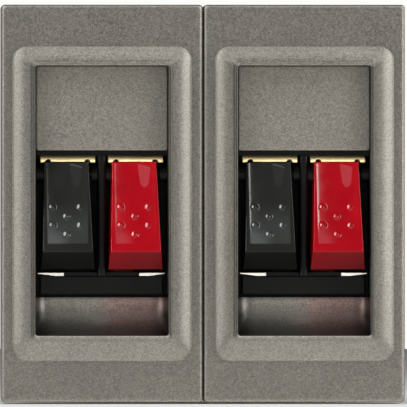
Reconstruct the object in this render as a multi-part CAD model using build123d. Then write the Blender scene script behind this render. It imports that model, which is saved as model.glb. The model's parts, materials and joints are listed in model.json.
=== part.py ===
from build123d import *
import os

# Twin loudspeaker wall terminal: two one-module spring-lever terminals side by side.
# Millimetres. X is to the right, Z is up and the front faces -Y. The origin is in the middle of the
# seat plane, where the rear rims of the fascias rest on a support frame. Depths are given as the
# distance in front of that plane, so a positive depth is towards -Y.

# Modules and cells
MODULE_PITCH = 22.5
FASCIA_WIDTH = 22.38
FASCIA_HEIGHT = 44.2
CELL_OFFSET = 3.78          # from a module's middle to the middle of each lever

# Fascia
FIELD_DEPTH = 8.0           # the flat field around the bezel
CREST_DEPTH = 9.1           # the top of the bezel's bead
FRONT_WALL_DEPTH = 6.6      # the inner face of the front wall
EDGE_RADIUS = 0.4
SIDE_WALL = 1.3
BEZEL_WIDTH = 19.8
BEZEL_HEIGHT = 34.9
BEZEL_CORNER = 1.6
BEZEL_ROUND = 0.7
SIDE_RIM_GAP = 0.3          # the side walls stop short of the seat plane
LATCH_RELIEF = 0.5          # depth of the notches behind which the latches snap
OPENING_WIDTH = 14.8
OPENING_TOP = 15.35
OPENING_BOTTOM = -14.69
SLOPE_FOOT_DEPTH = 8.35     # where the bezel's inner slope ends
SLOPE_GROWTH = 1.35         # how far the slope spreads before the crest

# Scoop below the levers
SCOOP_RADIUS = 4.0
SCOOP_TOP = -10.4
SCOOP_BACK_DEPTH = 4.3
SCOOP_WALL = 1.2
SCOOP_END_ROUND = 0.9

# Upper panel
PANEL_WIDTH = 14.44
PANEL_TOP = 15.22
PANEL_BOTTOM = 5.91
PANEL_DEPTH = 7.3
PANEL_THICKNESS = 1.2
PEG_RADIUS = 0.8
PEG_LENGTH = 2.4
PEG_SPACING = 9.0
PANEL_CORNER = 0.25
PANEL_CHAMFER = 0.12

# Terminal block
BLOCK_HALF_HEIGHT = 20.0
BLOCK_CLEARANCE = 0.09      # to the fascia's side walls
BACK_WALL = 1.0
RIB_WIDTH = 0.9
RIB_DEPTH = 6.0
RIB_ROUND = 0.3
CELL_OUTER = 7.3            # outer wall of a cell, from the module's middle
CELL_TOP = 5.32
CELL_FLOOR = -8.05
BAR_HALF_WIDTH = 6.85
BAR_DEPTH = 5.1
BAR_THICKNESS = 0.75
BAR_BOTTOM = -10.07
BAR_ROUND = 0.15
BAR_END_DEPTH = 3.0         # the gaps at the cross-bar's ends reach back to here
SILL_TOP = -7.66            # black sill between the contact bars
LINTEL_DEPTH = 5.5
STOP_POCKET_BOTTOM = -8.95
POCKET_GAP = 0.1
BOSS_RADIUS = 1.1
NUB_HEIGHT = 0.4
NUB_LENGTH = 6.0
NUB_BACK = 2.0
NUB_FRONT = 2.8
NUB_GAP = 0.05
SPRING_SEAT = 0.8           # how far a spring's leg enters the back wall
BOSS_GAP = 0.2              # between a pin boss and a lever's cheek

# Hinge pin
PIN_RADIUS = 0.6
PIN_DEPTH = 4.3
PIN_HEIGHT = 3.4
PIN_HALF_LENGTH = 8.3
PIN_CLEARANCE = 0.05

# Levers
LEVER_TOP = 4.63
LEVER_TOP_DEPTH = 6.95
LEVER_TOP_WIDTH = 5.06
NOSE_HEIGHT = -5.13
NOSE_DEPTH = 8.8
LEVER_WIDTH = 6.15
FOOT_HEIGHT = -7.34
FOOT_DEPTH = 6.6
HEEL_DEPTH = 3.7
CHEEK = 0.7
CHEEK_TOP = 4.3
LEVER_WALL = 0.6
LEVER_ROUND = 0.25
LEVER_BACK = 1.2            # from the pin's axis to the rear edge of the cheeks
FACE_WALL = 1.1             # wall behind the nose
FOOT_WALL = 0.7
NOTCH_INNER = 0.3
DISH_DEPTH = 0.22
DISH_MARGIN = 0.6
DISH_BOTTOM = -4.29
DISH_TOP_GAP = 0.35
DISH_CORNER = 0.6
LIP_LENGTH = 1.3
LIP_THICKNESS = 0.55
LIP_GAP = 0.05
LIP_INNER = 0.2
DOME_RADIUS = 0.45
DOME_HEIGHT = 0.3
DOME_SIDE = 1.63
DOME_TOP = -0.34
DOME_STEP = 1.03

# Clamp springs
SHEET = 0.3
SPRING_WIDTH = 6.1
TONGUE_WIDTH = 3.2
BEND_RADIUS = 0.7
SHOULDER_BOTTOM = 4.55
NOTCH_RADIUS = 0.35
NOTCH_SIDE = 2.17
KNEE = (4.2, -4.9)
JAW_TIP = (5.05, -7.4)
JAW_INNER = 0.5
JAW_STEP = 1.2              # height of the narrow jaw above the lever's foot

# Contact bars
STRIP_INNER = 4.2
STRIP_OUTER = 7.05
STRIP_DEPTH = 5.5
STRIP_THICKNESS = 0.32
STRIP_BLUNT = 1.0           # full thickness over this length at the inner end
STRIP_TIP = 0.08            # thickness left at the outer end
TAIL_WIDTH = 1.4

# Wire pillars and their screws
PILLAR_WIDTH = 5.6
PILLAR_TOP = -4.4
PILLAR_BOTTOM = -11.4
PILLAR_LENGTH = 7.0
WIRE_BORE_RADIUS = 1.5
WIRE_BORE_BACK = 3.0        # from the pillar's front face to the bore's axis
TAIL_REACH = 1.2
CLAMP_SCREW_RADIUS = 1.25
CLAMP_SCREW_HEIGHT = -8.4
CLAMP_HEAD_RADIUS = 2.0
CLAMP_HEAD = 1.2
CLAMP_HEAD_GAP = 1.2
DRIVER_SLOT_WIDTH = 0.6
DRIVER_SLOT_DEPTH = 0.6
SCREW_BACKED_OFF = 0.3      # from the screw's tip to the wire bore

# Twin housing and rear cover
HOUSING_HALF_WIDTH = 22.2
HOUSING_TOP = 20.0
HOUSING_WALL = 1.4
PLATE = 2.0
BOX_REAR = 9.0              # behind the seat plane
COVER = 1.6
HOUSING_CORNER = 1.0
COVER_CHAMFER = 0.4
RECESS_WIDTH = 30.0
RECESS_HEIGHT = 13.0
RECESS_DEPTH = 0.3
RECESS_CORNER = 1.5
FIN_GAP = 0.05
FIN_BOTTOM = -14.0
FIN_THICKNESS = 0.9
LATCH_LENGTH = 3.6
LATCH_HEIGHT = 1.0
LATCH_FRONT = 2.4
LATCH_REAR = 5.0
LATCH_ARM = 6.0
LATCH_ROOM = 0.4            # beside each latch tooth, in the fascia's notch
BOSS_SIDE = 19.4
BOSS_TOP = 17.2
BOSS_LIFT = 2.8             # from the box's lower edge to the lower bosses
COVER_BOSS_RADIUS = 2.2
COVER_SCREW_RADIUS = 0.9
COVER_HEAD_RADIUS = 1.8
COVER_HEAD = 1.0
COVER_SCREW_LENGTH = 6.0
BLOCK_SCREW_RADIUS = 0.85
BLOCK_HEAD_RADIUS = 1.6
BLOCK_SCREW_LENGTH = 4.9
BLOCK_SCREW_HEIGHTS = (12.0, -16.6)

SIDES = {"left": -1, "right": 1}
POLES = {"black": -1, "red": 1}


def front_plane(depth):
    """Plane facing the front, at a depth in front of the seat plane."""
    return Plane.XZ.offset(depth)


def slab(outline, back, front):
    """An outline in X and Z, extruded between two depths."""
    return extrude(front_plane(back) * outline, amount=front - back)


def box(x0, x1, back, front, z0, z1):
    """Box between two X, two depths and two heights."""
    outline = Pos((x0 + x1) / 2, (z0 + z1) / 2) * Rectangle(abs(x1 - x0), z1 - z0)
    return slab(outline, back, front)


def side_plane(x):
    """Plane for a side profile, whose points are (depth, height)."""
    return Plane(origin=(x, 0, 0), x_dir=(0, -1, 0), z_dir=(-1, 0, 0))


def prism(profile, x0, x1):
    """A side profile, extruded between two X."""
    return extrude(side_plane(max(x0, x1)) * profile, amount=abs(x1 - x0))


def rod_x(radius, x0, x1, depth, height):
    """Round bar along X."""
    return prism(Pos(depth, height) * Circle(radius), x0, x1)


def rod_y(radius, x, z, back, front):
    """Round bar along Y."""
    return slab(Pos(x, z) * Circle(radius), back, front)


def polygon(*points):
    """Face inside a closed line through the points."""
    return make_face(Polyline(*points, close=True))


def front_edges(shape, depth):
    """Edges that lie in the plane at this depth."""
    return shape.edges().filter_by_position(Axis.Y, -depth - 0.001, -depth + 0.001)


def make_fascia():
    """Grey cap with the bezel, the opening and the scoop."""
    inner_half = FASCIA_WIDTH / 2 - SIDE_WALL
    cap = slab(RectangleRounded(FASCIA_WIDTH, FASCIA_HEIGHT, EDGE_RADIUS), 0, FIELD_DEPTH)
    cap = fillet(front_edges(cap, FIELD_DEPTH), 0.95 * EDGE_RADIUS)
    bezel = slab(RectangleRounded(BEZEL_WIDTH, BEZEL_HEIGHT, BEZEL_CORNER), FIELD_DEPTH, CREST_DEPTH)
    bezel = fillet(front_edges(bezel, CREST_DEPTH), BEZEL_ROUND)
    cap += bezel
    cap -= box(-inner_half, inner_half, 0, FRONT_WALL_DEPTH, -BLOCK_HALF_HEIGHT, BLOCK_HALF_HEIGHT)
    cap += make_scoop_body()
    cap -= make_opening()
    for z in (BLOCK_HALF_HEIGHT, -BLOCK_HALF_HEIGHT):
        cap -= make_nub(z, NUB_GAP)
    relief_half = LATCH_LENGTH / 2 + LATCH_ROOM
    cap -= box(-relief_half, relief_half, 0, LATCH_RELIEF, -FASCIA_HEIGHT, FASCIA_HEIGHT)
    for side in (-1, 1):
        low, high = sorted((side * inner_half, side * FASCIA_WIDTH))
        cap -= box(low, high, 0, SIDE_RIM_GAP, -BLOCK_HALF_HEIGHT, BLOCK_HALF_HEIGHT)
    return cap


def make_opening():
    """Space inside the bezel: straight throat, sloping mouth and the hollow of the scoop."""
    half = OPENING_WIDTH / 2
    height = OPENING_TOP - OPENING_BOTTOM
    middle = (OPENING_TOP + OPENING_BOTTOM) / 2
    mouth = loft(
        [
            front_plane(SLOPE_FOOT_DEPTH) * Pos(0, middle) * Rectangle(OPENING_WIDTH, height),
            front_plane(CREST_DEPTH)
            * Pos(0, middle)
            * Rectangle(OPENING_WIDTH + 2 * SLOPE_GROWTH, height + 2 * SLOPE_GROWTH),
        ]
    )
    reach = CREST_DEPTH + 1.0
    scoop_axis = SCOOP_BACK_DEPTH + SCOOP_RADIUS
    scoop_centre = OPENING_BOTTOM + SCOOP_RADIUS
    hollow = rod_x(SCOOP_RADIUS, -half, half, scoop_axis, scoop_centre)
    ends = hollow.edges().filter_by(GeomType.CIRCLE)
    hollow = fillet(ends, SCOOP_END_ROUND)
    upper = box(-half, half, 0, reach, SCOOP_TOP, OPENING_TOP)
    lower = box(-half, half, scoop_axis, reach, OPENING_BOTTOM, SCOOP_TOP)
    return mouth + hollow + upper + lower


def make_scoop_body():
    """Solid around the scoop, before the hollow is taken out."""
    half = OPENING_WIDTH / 2 + SCOOP_WALL
    back = SCOOP_BACK_DEPTH - SCOOP_WALL
    bottom = OPENING_BOTTOM - SCOOP_WALL
    chamfer_length = SCOOP_RADIUS / 2
    profile = polygon(
        (back, SCOOP_TOP),
        (back, bottom + chamfer_length),
        (back + chamfer_length, bottom),
        (FIELD_DEPTH, bottom),
        (FIELD_DEPTH, SCOOP_TOP),
    )
    return prism(profile, -half, half)


def make_nub(z, growth):
    """Snap ridge that holds the fascia on the block."""
    half = NUB_LENGTH / 2 + growth
    reach = NUB_HEIGHT + growth
    outward = 1 if z > 0 else -1
    low, high = sorted((z, z + outward * reach))
    return box(-half, half, NUB_BACK - growth, NUB_FRONT + growth, low, high)


def make_panel():
    """Flat panel above the levers, with two pegs into the block."""
    middle = (PANEL_TOP + PANEL_BOTTOM) / 2
    back = PANEL_DEPTH - PANEL_THICKNESS
    outline = Pos(0, middle) * RectangleRounded(PANEL_WIDTH, PANEL_TOP - PANEL_BOTTOM, PANEL_CORNER)
    panel = slab(outline, back, PANEL_DEPTH)
    panel = chamfer(front_edges(panel, PANEL_DEPTH), PANEL_CHAMFER)
    for x in (-PEG_SPACING / 2, PEG_SPACING / 2):
        panel += rod_y(PEG_RADIUS, x, middle, back - PEG_LENGTH, back)
    return panel


def make_block():
    """Black insert with two lever cells, the rib between them and the cross-bar below."""
    half = FASCIA_WIDTH / 2 - SIDE_WALL - BLOCK_CLEARANCE
    panel_back = PANEL_DEPTH - PANEL_THICKNESS
    middle = (PANEL_TOP + PANEL_BOTTOM) / 2
    block = box(-half, half, 0, FRONT_WALL_DEPTH, -BLOCK_HALF_HEIGHT, BLOCK_HALF_HEIGHT)
    for z in (BLOCK_HALF_HEIGHT, -BLOCK_HALF_HEIGHT):
        block += make_nub(z, 0)
    # Panel seat, with the lintel below it set further back
    block -= box(-CELL_OUTER, CELL_OUTER, panel_back, FRONT_WALL_DEPTH, PANEL_BOTTOM, PANEL_TOP)
    block -= box(-CELL_OUTER, CELL_OUTER, LINTEL_DEPTH, FRONT_WALL_DEPTH, CELL_TOP, PANEL_BOTTOM)
    for x in (-PEG_SPACING / 2, PEG_SPACING / 2):
        block -= rod_y(PEG_RADIUS, x, middle, panel_back - PEG_LENGTH, panel_back)
    # Room for the fascia's scoop
    scoop_half = OPENING_WIDTH / 2 + SCOOP_WALL + POCKET_GAP
    scoop_back = SCOOP_BACK_DEPTH - SCOOP_WALL - POCKET_GAP
    scoop_low = OPENING_BOTTOM - SCOOP_WALL - POCKET_GAP
    block -= box(-scoop_half, scoop_half, scoop_back, FRONT_WALL_DEPTH, scoop_low, BAR_BOTTOM)
    # Cells, and the space in front of and beside the cross-bar
    block -= box(-CELL_OUTER, CELL_OUTER, BACK_WALL, FRONT_WALL_DEPTH, CELL_FLOOR, CELL_TOP)
    block -= box(-CELL_OUTER, CELL_OUTER, BAR_END_DEPTH, FRONT_WALL_DEPTH, BAR_BOTTOM, CELL_FLOOR)
    bar = box(-BAR_HALF_WIDTH, BAR_HALF_WIDTH, BAR_END_DEPTH, BAR_DEPTH, BAR_BOTTOM, CELL_FLOOR)
    block += fillet(front_edges(bar, BAR_DEPTH), BAR_ROUND)
    sill_half = STRIP_INNER - POCKET_GAP
    block += box(-sill_half, sill_half, BAR_DEPTH - BAR_THICKNESS, BAR_DEPTH - BAR_ROUND, CELL_FLOOR, SILL_TOP)
    rib = box(-RIB_WIDTH / 2, RIB_WIDTH / 2, BACK_WALL, RIB_DEPTH, CELL_FLOOR, CELL_TOP)
    block += fillet(front_edges(rib, RIB_DEPTH).filter_by(Axis.Z), RIB_ROUND)
    for side in (-1, 1):
        block = finish_cell(block, side)
    block -= rod_x(PIN_RADIUS, -PIN_HALF_LENGTH, PIN_HALF_LENGTH, PIN_DEPTH, PIN_HEIGHT)
    for z in BLOCK_SCREW_HEIGHTS:
        block -= rod_y(BLOCK_SCREW_RADIUS, 0, z, 0, BLOCK_SCREW_LENGTH - PLATE)
    return block


def finish_cell(block, side):
    """Pin bosses, stop pocket and the slots for the spring and the contact bar in one cell."""
    cheek = LEVER_TOP_WIDTH / 2 + BOSS_GAP
    inner = sorted((side * RIB_WIDTH / 2, side * (CELL_OFFSET - cheek)))
    outer = sorted((side * (CELL_OFFSET + cheek), side * CELL_OUTER))
    for low, high in (inner, outer):
        block += rod_x(BOSS_RADIUS, low, high, PIN_DEPTH, PIN_HEIGHT)
    low, high = sorted((side * (RIB_WIDTH / 2 + POCKET_GAP), side * CELL_OFFSET))
    pocket_front = BAR_DEPTH - BAR_THICKNESS
    block -= box(low, high, BACK_WALL, pocket_front, STOP_POCKET_BOTTOM, CELL_FLOOR)
    middle = side * CELL_OFFSET
    reach = SPRING_WIDTH / 2
    leg_back = BACK_WALL - SPRING_SEAT
    block -= box(middle - reach, middle + reach, leg_back, BACK_WALL, CELL_TOP - SHEET, CELL_TOP)
    low, high = sorted((side * STRIP_INNER, side * STRIP_OUTER))
    block -= box(low, high, 0, BACK_WALL, CELL_FLOOR, CELL_FLOOR + STRIP_THICKNESS)
    return block


def make_pin():
    """Steel pin through both levers of a module."""
    return rod_x(PIN_RADIUS, -PIN_HALF_LENGTH, PIN_HALF_LENGTH, PIN_DEPTH, PIN_HEIGHT)


def lever_outline(inset):
    """Front outline of a lever, wider at the bottom, drawn inside by an inset."""
    top = LEVER_TOP_WIDTH / 2 - inset
    bottom = LEVER_WIDTH / 2 - inset
    low = FOOT_HEIGHT - LIP_LENGTH - 1
    return polygon(
        (-top, LEVER_TOP), (top, LEVER_TOP), (bottom, NOSE_HEIGHT), (bottom, low), (-bottom, low),
        (-bottom, NOSE_HEIGHT),
    )


def face_depth(z):
    """Depth of a lever's flat face at a height."""
    along = (LEVER_TOP - z) / (LEVER_TOP - NOSE_HEIGHT)
    return LEVER_TOP_DEPTH + along * (NOSE_DEPTH - LEVER_TOP_DEPTH)


def make_lever(side):
    """Push lever about its own middle; side is +1 where the wire slot is to the right."""
    outer = polygon(
        (LEVER_TOP_DEPTH, LEVER_TOP),
        (NOSE_DEPTH, NOSE_HEIGHT),
        (FOOT_DEPTH, FOOT_HEIGHT),
        (HEEL_DEPTH, FOOT_HEIGHT),
        (HEEL_DEPTH, NOSE_HEIGHT),
        (PIN_DEPTH - LEVER_BACK, PIN_HEIGHT - LEVER_BACK),
        (PIN_DEPTH - LEVER_BACK, CHEEK_TOP),
        (LEVER_TOP_DEPTH - LEVER_WALL, CHEEK_TOP),
        (LEVER_TOP_DEPTH - LEVER_WALL, LEVER_TOP),
    )
    reach = LEVER_WIDTH
    lever = prism(outer, -reach, reach) & slab(lever_outline(0), 0, CREST_DEPTH)
    face = lever.faces().sort_by(Axis.Y)[0]
    lever = fillet(face.edges(), LEVER_ROUND)
    inner = polygon(
        (LEVER_TOP_DEPTH - LEVER_WALL, LEVER_TOP + 1),
        (NOSE_DEPTH - FACE_WALL, NOSE_HEIGHT),
        (FOOT_DEPTH - FOOT_WALL, FOOT_HEIGHT + FOOT_WALL),
        (0, FOOT_HEIGHT + FOOT_WALL),
        (0, LEVER_TOP + 1),
    )
    lever -= prism(inner, -reach, reach) & slab(lever_outline(CHEEK), 0, CREST_DEPTH)
    lever += make_lip(side)
    notch = sorted((side * NOTCH_INNER, side * (LEVER_WIDTH / 2 - CHEEK)))
    lever -= box(*notch, 0, FOOT_DEPTH - FOOT_WALL, FOOT_HEIGHT - FOOT_WALL, FOOT_HEIGHT + FOOT_WALL)
    lever -= rod_x(PIN_RADIUS + PIN_CLEARANCE, -reach, reach, PIN_DEPTH, PIN_HEIGHT)
    lever -= make_dish()
    ball_radius = (DOME_RADIUS**2 + DOME_HEIGHT**2) / (2 * DOME_HEIGHT)
    for x, z in dome_places():
        floor = face_depth(z) - DISH_DEPTH
        ball = Pos(x, -(floor + DOME_HEIGHT - ball_radius), z) * Sphere(ball_radius)
        lever += ball & slab(Pos(x, z) * Circle(2 * DOME_RADIUS), floor - DOME_HEIGHT, CREST_DEPTH)
    return lever


def make_dish():
    """Shallow recess for the finger in a lever's face."""
    top = LEVER_TOP_WIDTH / 2 - DISH_MARGIN
    bottom = LEVER_WIDTH / 2 - DISH_MARGIN
    outline = polygon((-top, LEVER_TOP), (top, LEVER_TOP), (bottom, DISH_BOTTOM), (-bottom, DISH_BOTTOM))
    corners = outline.vertices().sort_by(Axis.Y)[:2]
    outline = fillet(corners, DISH_CORNER)
    upper = LEVER_TOP - DISH_TOP_GAP
    skin = polygon(
        (face_depth(upper) - DISH_DEPTH, upper),
        (face_depth(upper) + 1, upper),
        (face_depth(DISH_BOTTOM) + 1, DISH_BOTTOM),
        (face_depth(DISH_BOTTOM) - DISH_DEPTH, DISH_BOTTOM),
    )
    return prism(skin, -LEVER_WIDTH, LEVER_WIDTH) & slab(outline, 0, CREST_DEPTH + 1)


def dome_places():
    """Grip domes in a zigzag: two at each side and two in the middle column."""
    places = []
    for row in range(4):
        height = DOME_TOP - row * DOME_STEP
        if row % 2 == 0:
            places += [(-DOME_SIDE, height), (DOME_SIDE, height)]
        else:
            places.append((0, height))
    return places


def make_lip(side):
    """Stop lip under the heel, which rests behind the cross-bar."""
    front = BAR_DEPTH - BAR_THICKNESS - LIP_GAP
    low, high = sorted((-side * LIP_INNER, -side * (LEVER_WIDTH / 2 - LIP_INNER)))
    bottom = FOOT_HEIGHT - LIP_LENGTH
    return box(low, high, front - LIP_THICKNESS, front, bottom, FOOT_HEIGHT + FOOT_WALL / 2)


def make_spring(side):
    """Brass leaf about its own middle: flat leg, rounded shoulder, tongue and jaw."""
    leg_height = CELL_TOP - SHEET / 2
    bend_centre = leg_height - BEND_RADIUS
    shoulder_depth = PANEL_DEPTH - PANEL_THICKNESS
    bend_start = shoulder_depth - SHEET / 2 - BEND_RADIUS
    leg_back = BACK_WALL - SPRING_SEAT
    line = Line((leg_back, leg_height), (bend_start, leg_height))
    line += RadiusArc(line @ 1, (bend_start + BEND_RADIUS, bend_centre), BEND_RADIUS)
    line += Line(line @ 1, KNEE)
    line += Line(KNEE, JAW_TIP)
    section = trace(line, SHEET)
    shoulder = prism(section, -SPRING_WIDTH / 2, SPRING_WIDTH / 2)
    shoulder &= box(-SPRING_WIDTH, SPRING_WIDTH, 0, CREST_DEPTH, SHOULDER_BOTTOM, CELL_TOP)
    for x in (-NOTCH_SIDE, NOTCH_SIDE):
        shoulder -= rod_y(NOTCH_RADIUS, x, SHOULDER_BOTTOM, bend_start, CREST_DEPTH)
    tongue = prism(section, -TONGUE_WIDTH / 2, TONGUE_WIDTH / 2)
    tongue &= box(-SPRING_WIDTH, SPRING_WIDTH, 0, CREST_DEPTH, JAW_TIP[1] - 1, SHOULDER_BOTTOM)
    low, high = sorted((side * JAW_INNER, -side * TONGUE_WIDTH))
    tongue -= box(low, high, 0, CREST_DEPTH, JAW_TIP[1] - 1, FOOT_HEIGHT + JAW_STEP)
    return shoulder + tongue


def make_contact_bar(side):
    """Tinned strip about the module's middle, thin at its outer end: the wire lies on it,
    and its tail enters a pillar."""
    low, high = sorted((side * STRIP_INNER, side * STRIP_OUTER))
    top = CELL_FLOOR + STRIP_THICKNESS
    bar = box(low, high, -PLATE, STRIP_DEPTH, CELL_FLOOR, top)
    blunt = side * (STRIP_INNER + STRIP_BLUNT)
    tip = side * STRIP_OUTER
    taper = Polygon((blunt, CELL_FLOOR), (tip, CELL_FLOOR), (tip, top - STRIP_TIP), align=None)
    bar -= extrude(Plane.XZ * taper, STRIP_DEPTH, dir=(0, -1, 0))
    low, high = sorted((side * STRIP_INNER, side * (STRIP_INNER + TAIL_WIDTH)))
    bar += box(low, high, -PLATE - TAIL_REACH, -PLATE, CELL_FLOOR, top)
    return bar


def make_pillar(side):
    """Brass pillar about the module's middle, with a wire bore from below and a screw from the rear."""
    middle = side * CELL_OFFSET
    half = PILLAR_WIDTH / 2
    rear = -PLATE - PILLAR_LENGTH
    pillar = box(middle - half, middle + half, rear, -PLATE, PILLAR_BOTTOM, PILLAR_TOP)
    bore_place = Pos(middle, PLATE + WIRE_BORE_BACK, (PILLAR_TOP + PILLAR_BOTTOM) / 2)
    pillar -= bore_place * Cylinder(WIRE_BORE_RADIUS, PILLAR_TOP - PILLAR_BOTTOM)
    bore_back = -PLATE - WIRE_BORE_BACK
    pillar -= rod_y(CLAMP_SCREW_RADIUS, middle, CLAMP_SCREW_HEIGHT, rear, bore_back)
    low, high = sorted((side * STRIP_INNER, side * (STRIP_INNER + TAIL_WIDTH)))
    top = CELL_FLOOR + STRIP_THICKNESS
    pillar -= box(low, high, -PLATE - TAIL_REACH, -PLATE, CELL_FLOOR, top)
    return pillar


def make_screw(x, z, seat, radius, length, head_radius, head):
    """Slotted screw driven from the rear, its head sitting on a seat behind the seat plane."""
    screw = rod_y(radius, x, z, -seat, length - seat)
    screw += rod_y(head_radius, x, z, -seat - head, -seat)
    slot_half = DRIVER_SLOT_WIDTH / 2
    rear = -seat - head
    slot = box(x - head_radius, x + head_radius, rear, rear + DRIVER_SLOT_DEPTH, z - slot_half, z + slot_half)
    return screw - slot


def pillar_places():
    """X of the four pillars."""
    return [side * MODULE_PITCH / 2 + pole * CELL_OFFSET for side in (-1, 1) for pole in (-1, 1)]


def make_pillar_screws():
    """Four clamping screws, backed off clear of the wire bores."""
    seat = PLATE + PILLAR_LENGTH + CLAMP_HEAD_GAP
    tip = PLATE + WIRE_BORE_BACK + WIRE_BORE_RADIUS + SCREW_BACKED_OFF
    return [
        make_screw(x, CLAMP_SCREW_HEIGHT, seat, CLAMP_SCREW_RADIUS, seat - tip, CLAMP_HEAD_RADIUS, CLAMP_HEAD)
        for x in pillar_places()
    ]


def cover_screw_places():
    """X and Z of the rear cover's screws."""
    return [(x, z) for x in (-BOSS_SIDE, BOSS_SIDE) for z in (BOSS_TOP, PILLAR_TOP + BOSS_LIFT)]


def make_cover_screws():
    """Four screws that hold the rear cover."""
    seat = BOX_REAR + COVER - COVER_HEAD
    return [
        make_screw(x, z, seat, COVER_SCREW_RADIUS, COVER_SCREW_LENGTH, COVER_HEAD_RADIUS, COVER_HEAD)
        for x, z in cover_screw_places()
    ]


def block_screw_places():
    """X and Z of the screws that join the blocks to the housing."""
    return [(side * MODULE_PITCH / 2, z) for side in (-1, 1) for z in BLOCK_SCREW_HEIGHTS]


def make_block_screws():
    """Four screws from the housing's inside into the terminal blocks."""
    return [
        make_screw(x, z, PLATE, BLOCK_SCREW_RADIUS, BLOCK_SCREW_LENGTH, BLOCK_HEAD_RADIUS, COVER_HEAD)
        for x, z in block_screw_places()
    ]


def make_latch(x, outward):
    """Snap arm and tooth that grip the support frame from behind."""
    half = LATCH_LENGTH / 2
    edge = HOUSING_TOP * outward
    low, high = sorted((edge, edge - outward * HOUSING_WALL))
    arm = box(x - half, x + half, -LATCH_ARM, -PLATE, low, high)
    tooth = polygon(
        (-LATCH_FRONT, edge), (-LATCH_FRONT, edge + outward * LATCH_HEIGHT), (-LATCH_REAR, edge)
    )
    return arm + prism(tooth, x - half, x + half)


def box_outline():
    """Outline of the closed box behind the front plate, and of its cover."""
    middle = (HOUSING_TOP + PILLAR_TOP) / 2
    return Pos(0, middle) * RectangleRounded(2 * HOUSING_HALF_WIDTH, HOUSING_TOP - PILLAR_TOP, HOUSING_CORNER)


def make_housing():
    """Rear body shared by both modules, with a bay for the wire pillars."""
    half = HOUSING_HALF_WIDTH
    rear = -BOX_REAR
    housing = slab(RectangleRounded(2 * half, 2 * HOUSING_TOP, HOUSING_CORNER), -PLATE, 0)
    housing += slab(box_outline(), rear, -PLATE)
    wall = HOUSING_WALL
    housing -= box(-half + wall, half - wall, rear, -PLATE, PILLAR_TOP + wall, HOUSING_TOP - wall)
    for x, z in cover_screw_places():
        housing += rod_y(COVER_BOSS_RADIUS, x, z, rear, -PLATE)
    for module in SIDES.values():
        centre = module * MODULE_PITCH / 2
        housing += make_fins(centre)
        for outward in (-1, 1):
            housing += make_latch(centre, outward)
        for side in (-1, 1):
            low, high = sorted((side * STRIP_INNER, side * STRIP_OUTER))
            slot_top = CELL_FLOOR + STRIP_THICKNESS
            housing -= box(centre + low, centre + high, -PLATE, 0, CELL_FLOOR, slot_top)
    tip = BOX_REAR + COVER - COVER_HEAD - COVER_SCREW_LENGTH
    for x, z in cover_screw_places():
        housing -= rod_y(COVER_SCREW_RADIUS, x, z, rear, -tip)
    for x, z in block_screw_places():
        housing -= rod_y(BLOCK_SCREW_RADIUS, x, z, -PLATE, 0)
    return housing


def make_fins(centre):
    """Fins on both sides of each of a module's pillars."""
    fins = []
    inner = CELL_OFFSET - PILLAR_WIDTH / 2 - FIN_GAP
    outer = CELL_OFFSET + PILLAR_WIDTH / 2 + FIN_GAP
    fins.append(box(centre - inner, centre + inner, -BOX_REAR, -PLATE, FIN_BOTTOM, PILLAR_TOP))
    for side in (-1, 1):
        low, high = sorted((centre + side * outer, centre + side * (outer + FIN_THICKNESS)))
        fins.append(box(low, high, -BOX_REAR, -PLATE, FIN_BOTTOM, PILLAR_TOP))
    return fins


def make_cover():
    """Plate that closes the housing's rear."""
    rear = -BOX_REAR - COVER
    cover = slab(box_outline(), rear, -BOX_REAR)
    cover = chamfer(front_edges(cover, rear), COVER_CHAMFER)
    middle = (HOUSING_TOP + PILLAR_TOP) / 2
    recess = Pos(0, middle) * RectangleRounded(RECESS_WIDTH, RECESS_HEIGHT, RECESS_CORNER)
    cover -= slab(recess, rear, rear + RECESS_DEPTH)
    for x, z in cover_screw_places():
        cover -= rod_y(COVER_SCREW_RADIUS, x, z, rear, -BOX_REAR)
        cover -= rod_y(COVER_HEAD_RADIUS, x, z, rear, rear + COVER_HEAD)
    return cover


def save(shape, name):
    """Write one node."""
    if isinstance(shape, (list, ShapeList)):
        shape = Compound(children=list(shape))
    export_step(shape, f"parts/{name}.step")


def main():
    os.makedirs("parts", exist_ok=True)
    for name, module in SIDES.items():
        place = Pos(module * MODULE_PITCH / 2, 0, 0)
        save(place * make_fascia(), f"fascia_{name}")
        save(place * make_panel(), f"upper_panel_{name}")
        save(place * make_block(), f"terminal_block_{name}")
        save(place * make_pin(), f"hinge_pin_{name}")
        for colour, side in POLES.items():
            cell = place * Pos(side * CELL_OFFSET, 0, 0)
            save(cell * make_lever(side), f"lever_{colour}_{name}")
            save(cell * make_spring(side), f"clamp_spring_{colour}_{name}")
            save(place * make_contact_bar(side), f"contact_bar_{colour}_{name}")
            save(place * make_pillar(side), f"wire_pillar_{colour}_{name}")
    save(make_pillar_screws(), "pillar_screws")
    save(make_block_screws(), "block_screws")
    save(make_cover_screws(), "cover_screws")
    save(make_housing(), "twin_housing")
    save(make_cover(), "rear_cover")


main()
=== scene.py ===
import json
import math

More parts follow.
